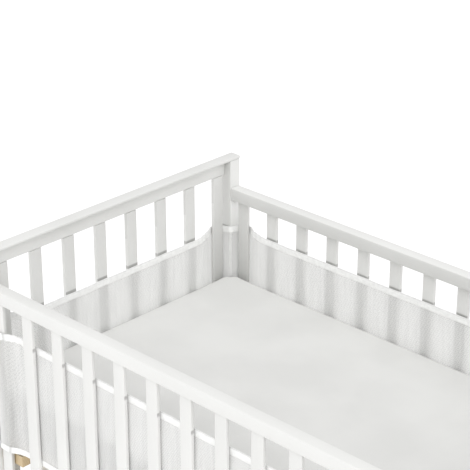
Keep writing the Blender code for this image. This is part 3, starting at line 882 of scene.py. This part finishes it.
def corner_painted_shade(tree, coords):
    """How much painted shade greys the paint at each place on the crib, and how much painted light
    whitens it.
    """
    height = add_node(tree, "SeparateXYZ", (coords,)).outputs["Z"]
    side = add_node(tree, "VectorMath", (coords,), operation="SIGN")
    face = add_node(tree, "NewGeometry").outputs["True Normal"]
    outward = add_node(tree, "VectorMath", (side, face), operation="MULTIPLY")
    out_x, out_y, _ = add_node(tree, "SeparateXYZ", (outward,)).outputs
    least = add_node(tree, "Math", (out_x, out_y), operation="MINIMUM")
    reach = add_node(tree, "VectorMath", (coords,), operation="ABSOLUTE")
    inset = add_node(tree, "VectorMath", ((HALF_X, HALF_Y, 0.0), reach), operation="SUBTRACT")
    in_x, in_y, _ = add_node(tree, "SeparateXYZ", (inset,)).outputs
    from_corner = add_node(tree, "Math", (in_x, in_y), operation="MAXIMUM")
    line_starts, line_full, line_fades, line_ends = [LINER_TOP + place for place in LINE_PLACES]
    # value, where the share starts and ends, and what it is at either end
    rules = {
        "faces_in": (least, LOOKS_IN, LOOKS_ASIDE, 1.0, 0.0),
        "post_side": (out_y, LOOKS_IN, LOOKS_ASIDE, 1.0, 0.0),
        "off_post": (from_corner, POST_ENDS, SLAT_STARTS, 0.0, 1.0),
        "near": (from_corner, CORNER_NEAR, CORNER_FAR, 1.0, 0.0),
        "at_rail": (height, rail_bottom - RAIL_BLUR, rail_bottom, 0.0, 1.0),
        "lit_below_rail": (height, LINER_TOP, rail_bottom - LIGHT_FULL_BELOW, WHITE_LOW, WHITE_HIGH),
        "line_low": (height, line_starts, line_full, 0.0, BEHIND_TRIM),
        "line_high": (height, line_fades, line_ends, 1.0, 0.0),
    }
    share = {name: add_node(tree, "MapRange", rule, interpolation_type="SMOOTHSTEP")
             for name, rule in rules.items()}
    share["below"] = add_node(tree, "MapRange", (height, BED_TOP, BED_TOP + SHADE_HIGH, 1.0, 0.0))
    # name of the result, operation, and the shares or numbers that go into it
    sums = (
        # On the first slats the painted shade fades upwards. Posts and rails get one light painted
        # shade on their inner faces along the long sides.
        ("slat_grey", "POWER", "below", SHADE_POWER),
        ("slat_grey", "MULTIPLY", "slat_grey", "off_post"),
        ("slat_grey", "MULTIPLY", "slat_grey", "near"),
        ("slat_grey", "MULTIPLY", "slat_grey", AT_FIRST_SLATS),
        ("on_post", "SUBTRACT", "near", "off_post"),
        ("held", "MAXIMUM", "on_post", "at_rail"),
        ("held", "MULTIPLY", "held", "post_side"),
        ("grey", "MULTIPLY_ADD", "held", ON_SIDES, "slat_grey"),
        # The painted shade line behind the trim is left off the first slats, which the trim passes
        # behind, and off the posts' inner faces, which it doesn't touch.
        ("free_slat", "MULTIPLY", "off_post", "near"),
        ("touched", "MAXIMUM", "off_post", "post_side"),
        ("touched", "SUBTRACT", "touched", "free_slat"),
        ("line", "MULTIPLY", "line_low", "line_high"),
        ("line", "MULTIPLY_ADD", "line", "touched", "grey"),
        ("painted_shade", "MULTIPLY", "line", "faces_in"),
        # The posts' other inner faces get a painted light under the side rail, where its shadow
        # falls.
        ("under_rail", "SUBTRACT", "on_post", "at_rail"),
        ("end_face", "SUBTRACT", "faces_in", "post_side"),
        ("white", "MULTIPLY", "under_rail", "end_face"),
        ("white", "MULTIPLY", "white", "lit_below_rail"),
    )
    for name, operation, *terms in sums:
        share[name] = add_node(tree, "Math", [share.get(t, t) for t in terms], operation=operation,
                               use_clamp=operation == "SUBTRACT")
    return share["painted_shade"], share["white"]


# %% Paint material: satin lacquer on beech
# Spray leaves ripples of about 2 mm. Grain lines stand 2 to 3 mm apart and run on for
# decimetres. Both are bump only, because the paint hides the wood's colour.
GRAIN_ACROSS, GRAIN_ALONG, PEEL = 380.0, 9.0, 500.0


def lacquer(name, along, dull, bright):
    """White satin lacquer, the grain below it running along the axis 0, 1 or 2."""
    made, tree = new_material(name)
    coords = add_node(tree, "TexCoord").outputs["Object"]
    grain_scale = [GRAIN_ALONG if k == along else GRAIN_ACROSS for k in range(3)]
    stretched = add_node(tree, "Mapping", {"Vector": coords, "Scale": grain_scale})
    grain = add_node(tree, "TexNoise", {
        "Vector": stretched, "Scale": 1.0, "Detail": 3.0, "Roughness": 0.55})
    peel = add_node(tree, "TexNoise", {"Vector": coords, "Scale": PEEL, "Detail": 1.0})
    clouds = add_node(tree, "TexNoise", {"Vector": coords, "Scale": 6.0, "Detail": 3.0})
    tone = add_node(tree, "ValToRGB", {"Fac": clouds}, stops=((0.3, dull), (0.7, bright)))
    # The painted shade mixes a dark grey into the paint, and the painted light a near white.
    grey, white = corner_painted_shade(tree, coords)
    kept = add_node(tree, "Mix", {"Factor": white, 6: tone, 7: linear("#FAFAF9")},
                    data_type="RGBA").outputs[2]
    colour = add_node(tree, "Mix", {"Factor": grey, 6: kept, 7: linear("#55554F")},
                      data_type="RGBA").outputs[2]
    gloss = add_node(tree, "MapRange", {"Value": clouds, "To Min": 0.36, "To Max": 0.50})
    grain_bump = add_node(tree, "Bump", {"Height": grain, "Strength": 0.15, "Distance": 0.0004})
    peel_bump = add_node(tree, "Bump", {
        "Height": peel, "Strength": 0.10, "Distance": 0.0003, "Normal": grain_bump})
    surface = add_node(tree, "BsdfPrincipled", {
        "Base Color": colour, "Roughness": gloss, "IOR": 1.5, "Normal": peel_bump})
    add_node(tree, "OutputMaterial", {"Surface": surface})
    return made


lacquers = [lacquer(f"satin_lacquer_on_beech_{axis}", k, dull, bright)
            for k, (axis, dull, bright) in enumerate((
                ("x", "#E1E1DF", "#E7E7E5"),    # side rails, a little lighter
                ("y", "#DBDBD9", "#E1E1DF"),    # caps, a little darker
                ("z", "#DFDFDD", "#E5E5E3")))]  # posts and slats
# The fascias get a whiter tone of the same lacquer: a painted light where the cap above shades them.
fascia_whiter_lacquer = lacquer("satin_lacquer_painted_whiter", 1, "#E9E9E7", "#EFEFED")
print("made", len(lacquers) + 1, "lacquer materials")

# %% [markdown]
# ### Slats
# A crib has dozens of equal slats on one pitch, so one Geometry Nodes tree makes a whole
# row. It draws the slat's section as a rectangle with filleted corners, pulls it up to
# the slat's length, and sets a copy at each step of the row.

# %% Slat tree
slat_tree, given = new_tree("slat_row", (
    ("Count", "Int"), ("Step", "Vector"), ("Start", "Vector"), ("Wide", "Float"),
    ("Deep", "Float"), ("Length", "Float"), ("Edge", "Float")))
outline_curve = add_node(slat_tree, "GeometryNodeCurvePrimitiveQuadrilateral",
                         {"Width": given["Wide"], "Height": given["Deep"]}, mode="RECTANGLE")
filleted = add_node(slat_tree, "GeometryNodeFilletCurve", {
    "Curve": outline_curve, "Count": 3, "Radius": given["Edge"]}, mode="POLY")
top = add_node(slat_tree, "CombineXYZ", {"Z": given["Length"]})
upright = add_node(slat_tree, "GeometryNodeCurvePrimitiveLine", {
    "Start": (0.0, 0.0, 0.0), "End": top})
slat = add_node(slat_tree, "GeometryNodeCurveToMesh", {
    "Curve": upright, "Profile Curve": filleted, "Fill Caps": True})
spots = add_node(slat_tree, "GeometryNodeMeshLine", {
    "Count": given["Count"], "Start Location": given["Start"], "Offset": given["Step"]},
    mode="OFFSET")
row = add_node(slat_tree, "GeometryNodeInstanceOnPoints", {"Points": spots, "Instance": slat})
end_tree(slat_tree, row, given["Material"])
print("slat tree has", len(slat_tree.nodes), "nodes")

# %% Slat rows
SLAT_ROUND = 0.0015
foot_top = FOOT_RAIL_BOTTOM + FOOT_RAIL_TALL
side_first = -HALF_X + FIRST_SLAT + SLAT_WIDE / 2
end_first = -HALF_Y + FIRST_SLAT + SLAT_WIDE / 2
side_off, end_off = HALF_Y + SLAT_THICK / 2, HALF_X + SLAT_THICK / 2
SLAT_ROWS = [
    # side, count, first slat's middle, step, wide, deep, top
    ("back", SIDE_SLATS, (side_first, side_off), (PITCH, 0.0), SLAT_WIDE, SLAT_THICK, rail_bottom),
    ("front", SIDE_SLATS, (side_first, -side_off), (PITCH, 0.0), SLAT_WIDE, SLAT_THICK, rail_bottom),
    ("head", END_SLATS, (-end_off, end_first), (0.0, PITCH), SLAT_THICK, SLAT_WIDE, FASCIA_BOTTOM),
    ("foot", END_SLATS, (end_off, end_first), (0.0, PITCH), SLAT_THICK, SLAT_WIDE, FASCIA_BOTTOM),
]
for side, count, first, step, wide, deep, top in SLAT_ROWS:
    name = f"slats_{side}"
    nodes = [f"{side}_slat_{k + 1:02d}" for k in range(count)] if side != "foot" else ["foot_end"]
    slats = run_tree(name, bpy.data.meshes.new(name), slat_tree, lacquers[2], Count=count,
                     Step=(*step, 0.0), Start=(*first, foot_top + FIT), Wide=wide, Deep=deep,
                     Length=top - foot_top - 2 * FIT, Edge=SLAT_ROUND)
    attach(slats, "root")
    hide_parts(*nodes)
    print(name, "has", len(slats.data.polygons), "faces")

# %% [markdown]
# ### Posts, rails and boards
# These are planed boards with eased edges. A box with its edges bevelled in three steps
# catches a thin line of light along each edge, which is what makes painted wood read as
# wood and not as card. The rails and boards replace their plain solids.

# %% Boards
BOARD_EASE, POST_EASE, PANEL_EASE, RAIL_EASE = 0.0022, 0.0018, 0.0015, 0.0030


def board(name, low, high, along, nodes, ease=BOARD_EASE, material=None):
    """A board with eased edges, its grain along one axis."""
    shape = bmesh.new()
    bmesh.ops.create_cube(shape, size=1.0)
    for vert in shape.verts:
        vert.co = Vector([(low[k] + high[k]) / 2 + vert.co[k] * (high[k] - low[k])
                          for k in range(3)])
    bmesh.ops.bevel(shape, geom=list(shape.edges), offset=ease, segments=3, profile=0.5,
                    affect="EDGES", clamp_overlap=True)
    mesh = bpy.data.meshes.new(name)
    shape.to_mesh(mesh)
    shape.free()
    piece = add_piece(name, mesh, material or lacquers[along], sharp_angle=20.0)
    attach(piece, "root")
    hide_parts(*nodes)
    return piece


def mirrored(sign, a, b):
    """Two distances from the middle as low and high on one side of it."""
    return sorted((sign * a, sign * b))


for end, sx in (("head", -1), ("foot", 1)):
    x = mirrored(sx, HALF_X - PROUD, HALF_X - PROUD + POST_X)
    for side, sy in (("back", 1), ("front", -1)):
        y = mirrored(sy, HALF_Y - PROUD, HALF_Y - PROUD + POST_Y)
        node = f"post_{end}_{side}"
        board(f"{node}_beech", (x[0], y[0], 0.0), (x[1], y[1], CAP_BOTTOM - FIT), 2, [node],
              POST_EASE)
    outer = HALF_Y - PROUD + POST_Y + CAP_OVERHANG
    reach = HALF_Y - PROUD - FIT
    cap = mirrored(sx, HALF_X - PROUD - CAP_OVERHANG, HALF_X - PROUD + POST_X)
    panel = mirrored(sx, HALF_X + FASCIA_SET_BACK, HALF_X + FASCIA_SET_BACK + FASCIA_THICK)
    nodes = ([["head_cap"], ["head_fascia"], ["head_bottom_rail"]] if end == "head"
             else [["foot_end"]] * 3)
    board(f"cap_{end}", (cap[0], -outer, CAP_BOTTOM), (cap[1], outer, CAP_BOTTOM + CAP_THICK),
          1, nodes[0])
    board(f"fascia_{end}", (panel[0], -reach, FASCIA_BOTTOM),
          (panel[1], reach, CAP_BOTTOM - FIT), 1, nodes[1], PANEL_EASE, fascia_whiter_lacquer)
    board(f"low_rail_{end}", (panel[0], -reach, FOOT_RAIL_BOTTOM), (panel[1], reach, foot_top),
          1, nodes[2], PANEL_EASE)

for side, sy in (("back", 1), ("front", -1)):
    y = mirrored(sy, HALF_Y - PROUD, HALF_Y - PROUD + RAIL_DEEP)
    reach = HALF_X - PROUD - FIT
    board(f"rail_{side}_top", (-reach, y[0], rail_bottom), (reach, y[1], SIDE_TOP), 0,
          [f"{side}_top_rail"], RAIL_EASE)
    board(f"rail_{side}_low", (-reach, y[0], FOOT_RAIL_BOTTOM), (reach, y[1], foot_top), 0,
          [f"{side}_bottom_rail"], RAIL_EASE)
print("boards are in place")

# %% [markdown]
# ### The board under the mattress
# The mattress lies on a sheet of birch plywood with a lug at each corner. Its solid has
# the right shape already, so the CAD object stays and only gets its material. The face
# veneer has long pale figure, and the cut edge shows the plies as thin stripes.

# %% Board material: birch plywood
# Plies are 1.5 mm thick, so light and dark repeat every 3 mm.
PLY_REPEAT = 0.003
ply_material, tree = new_material("birch_plywood")
coords = add_node(tree, "TexCoord").outputs["Object"]
stretched = add_node(tree, "Mapping", {"Vector": coords, "Scale": (2.0, 40.0, 30.0)})
figure = add_node(tree, "TexNoise", {
    "Vector": stretched, "Scale": 1.0, "Detail": 5.0, "Distortion": 0.4})
tone = add_node(tree, "ValToRGB", {"Fac": figure}, stops=((0.35, "#D2BE9C"), (0.7, "#E6D8BC")))
plies = add_node(tree, "TexWave", {"Vector": coords, "Scale": WAVE / PLY_REPEAT},
                 bands_direction="Z").outputs["Fac"]
ply_tone = add_node(tree, "ValToRGB", {"Fac": plies}, stops=((0.0, "#B79A6E"), (1.0, "#E2D2B2")))
facing = add_node(tree, "NewGeometry").outputs["True Normal"]
upright = add_node(tree, "VectorMath", (facing, (0.0, 0.0, 1.0)),
                   operation="DOT_PRODUCT").outputs["Value"]
flat_face = add_node(tree, "Math", (upright,), operation="ABSOLUTE")
both = add_node(tree, "Mix", {"Factor": flat_face, 6: ply_tone, 7: tone},
                data_type="RGBA").outputs[2]
bump = add_node(tree, "Bump", {"Height": figure, "Strength": 0.2, "Distance": 0.0004})
surface = add_node(tree, "BsdfPrincipled", {
    "Base Color": both, "Roughness": 0.6, "IOR": 1.5, "Normal": bump})
add_node(tree, "OutputMaterial", {"Surface": surface})
bed_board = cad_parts["mattress_board"]
for slot in bed_board.material_slots:
    slot.material = ply_material
print("plywood on", bed_board.name)

# %% [markdown]
# ## Floor and light
# The photograph has a plain white ground, and soft light from above and from the foot of
# the crib: tops are brightest, faces towards the foot come next, and faces towards the
# front are greyest. A wide sun lamp gives the soft main light evenly over the whole
# floor, and a pale sky fills the rest. The view transform is Standard, so white stays
# white.

# %% Floor
FLOOR_HALF = 60.0
WHITE = (1.0, 1.0, 1.0, 1.0)
floor_material, tree = new_material("white_studio_floor")
coords = add_node(tree, "TexCoord").outputs["Object"]
mottle = add_node(tree, "TexNoise", {"Vector": coords, "Scale": 3.0})
tone = add_node(tree, "ValToRGB", {"Fac": mottle}, stops=((0.0, "#F8F8F8"), (1.0, "#FCFCFC")))
surface = add_node(tree, "BsdfPrincipled", {
    "Base Color": tone, "Roughness": 0.9, "Specular IOR Level": 0.2, "Emission Color": WHITE,
    "Emission Strength": 0.10})
add_node(tree, "OutputMaterial", {"Surface": surface})
mesh = bpy.data.meshes.new("studio_floor")
mesh.from_pydata([(x * FLOOR_HALF, y * FLOOR_HALF, 0.0)
                  for x, y in ((-1, -1), (1, -1), (1, 1), (-1, 1))], [], [(0, 1, 2, 3)])
floor = add_piece("studio_floor", mesh, floor_material)
print("floor is", 2 * FLOOR_HALF, "m wide")

# %% Light
SUN_TOWARDS, SUN_POWER, SUN_SPREAD = (-0.448, 0.43, -0.784), 1.50, 60
SKY_FILL = 0.76
sun_data = bpy.data.lights.new("soft_key", "SUN")
sun_data.energy = SUN_POWER
sun_data.angle = math.radians(SUN_SPREAD)
sun = add_object("soft_key", sun_data)
sun.rotation_euler = Vector(SUN_TOWARDS).to_track_quat("-Z", "Y").to_euler()

world = bpy.data.worlds.new("studio")
world.use_nodes = True
tree = world.node_tree
tree.nodes.clear()
fill, paper = [add_node(tree, "Background", {"Color": WHITE, "Strength": strength})
               for strength in (SKY_FILL, 1.0)]
seen = add_node(tree, "LightPath").outputs["Is Camera Ray"]
sky = add_node(tree, "MixShader", (seen, fill, paper))
add_node(tree, "OutputWorld", {"Surface": sky})
bpy.context.scene.world = world
bpy.context.scene.view_settings.view_transform = "Standard"
print("lit by one soft sun and a pale sky")
